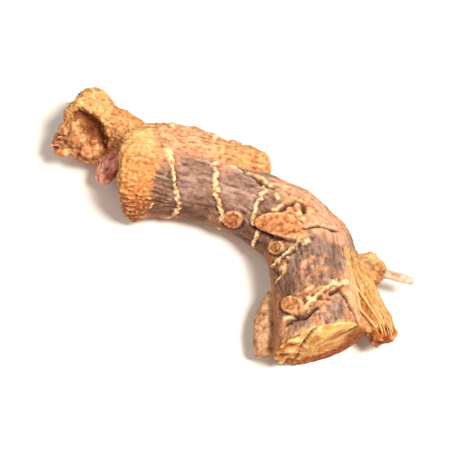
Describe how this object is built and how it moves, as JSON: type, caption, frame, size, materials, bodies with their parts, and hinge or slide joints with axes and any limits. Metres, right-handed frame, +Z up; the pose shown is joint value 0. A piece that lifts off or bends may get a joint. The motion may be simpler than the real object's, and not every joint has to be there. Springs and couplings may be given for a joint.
{
  "type": "dried galangal root",
  "caption": "Cut piece of dried galangal rhizome: a ringed, bent finger with a fused side finger, a hollow stem base, root scars and a knife-cut end.",
  "frame": {"origin": "middle of the bounding box at its base, on the level surface that the piece lies on", "axes": "+X along the piece from the hollow stem base to the knife-cut end, +Y to the outside of its bend, +Z up"},
  "size_m": [0.0785, 0.0312, 0.0177],
  "materials": {
    "rhizome": "matte"
  },
  "bodies": {
    "root": {"rhizome": "rhizome"}
  },
  "joints": []
}
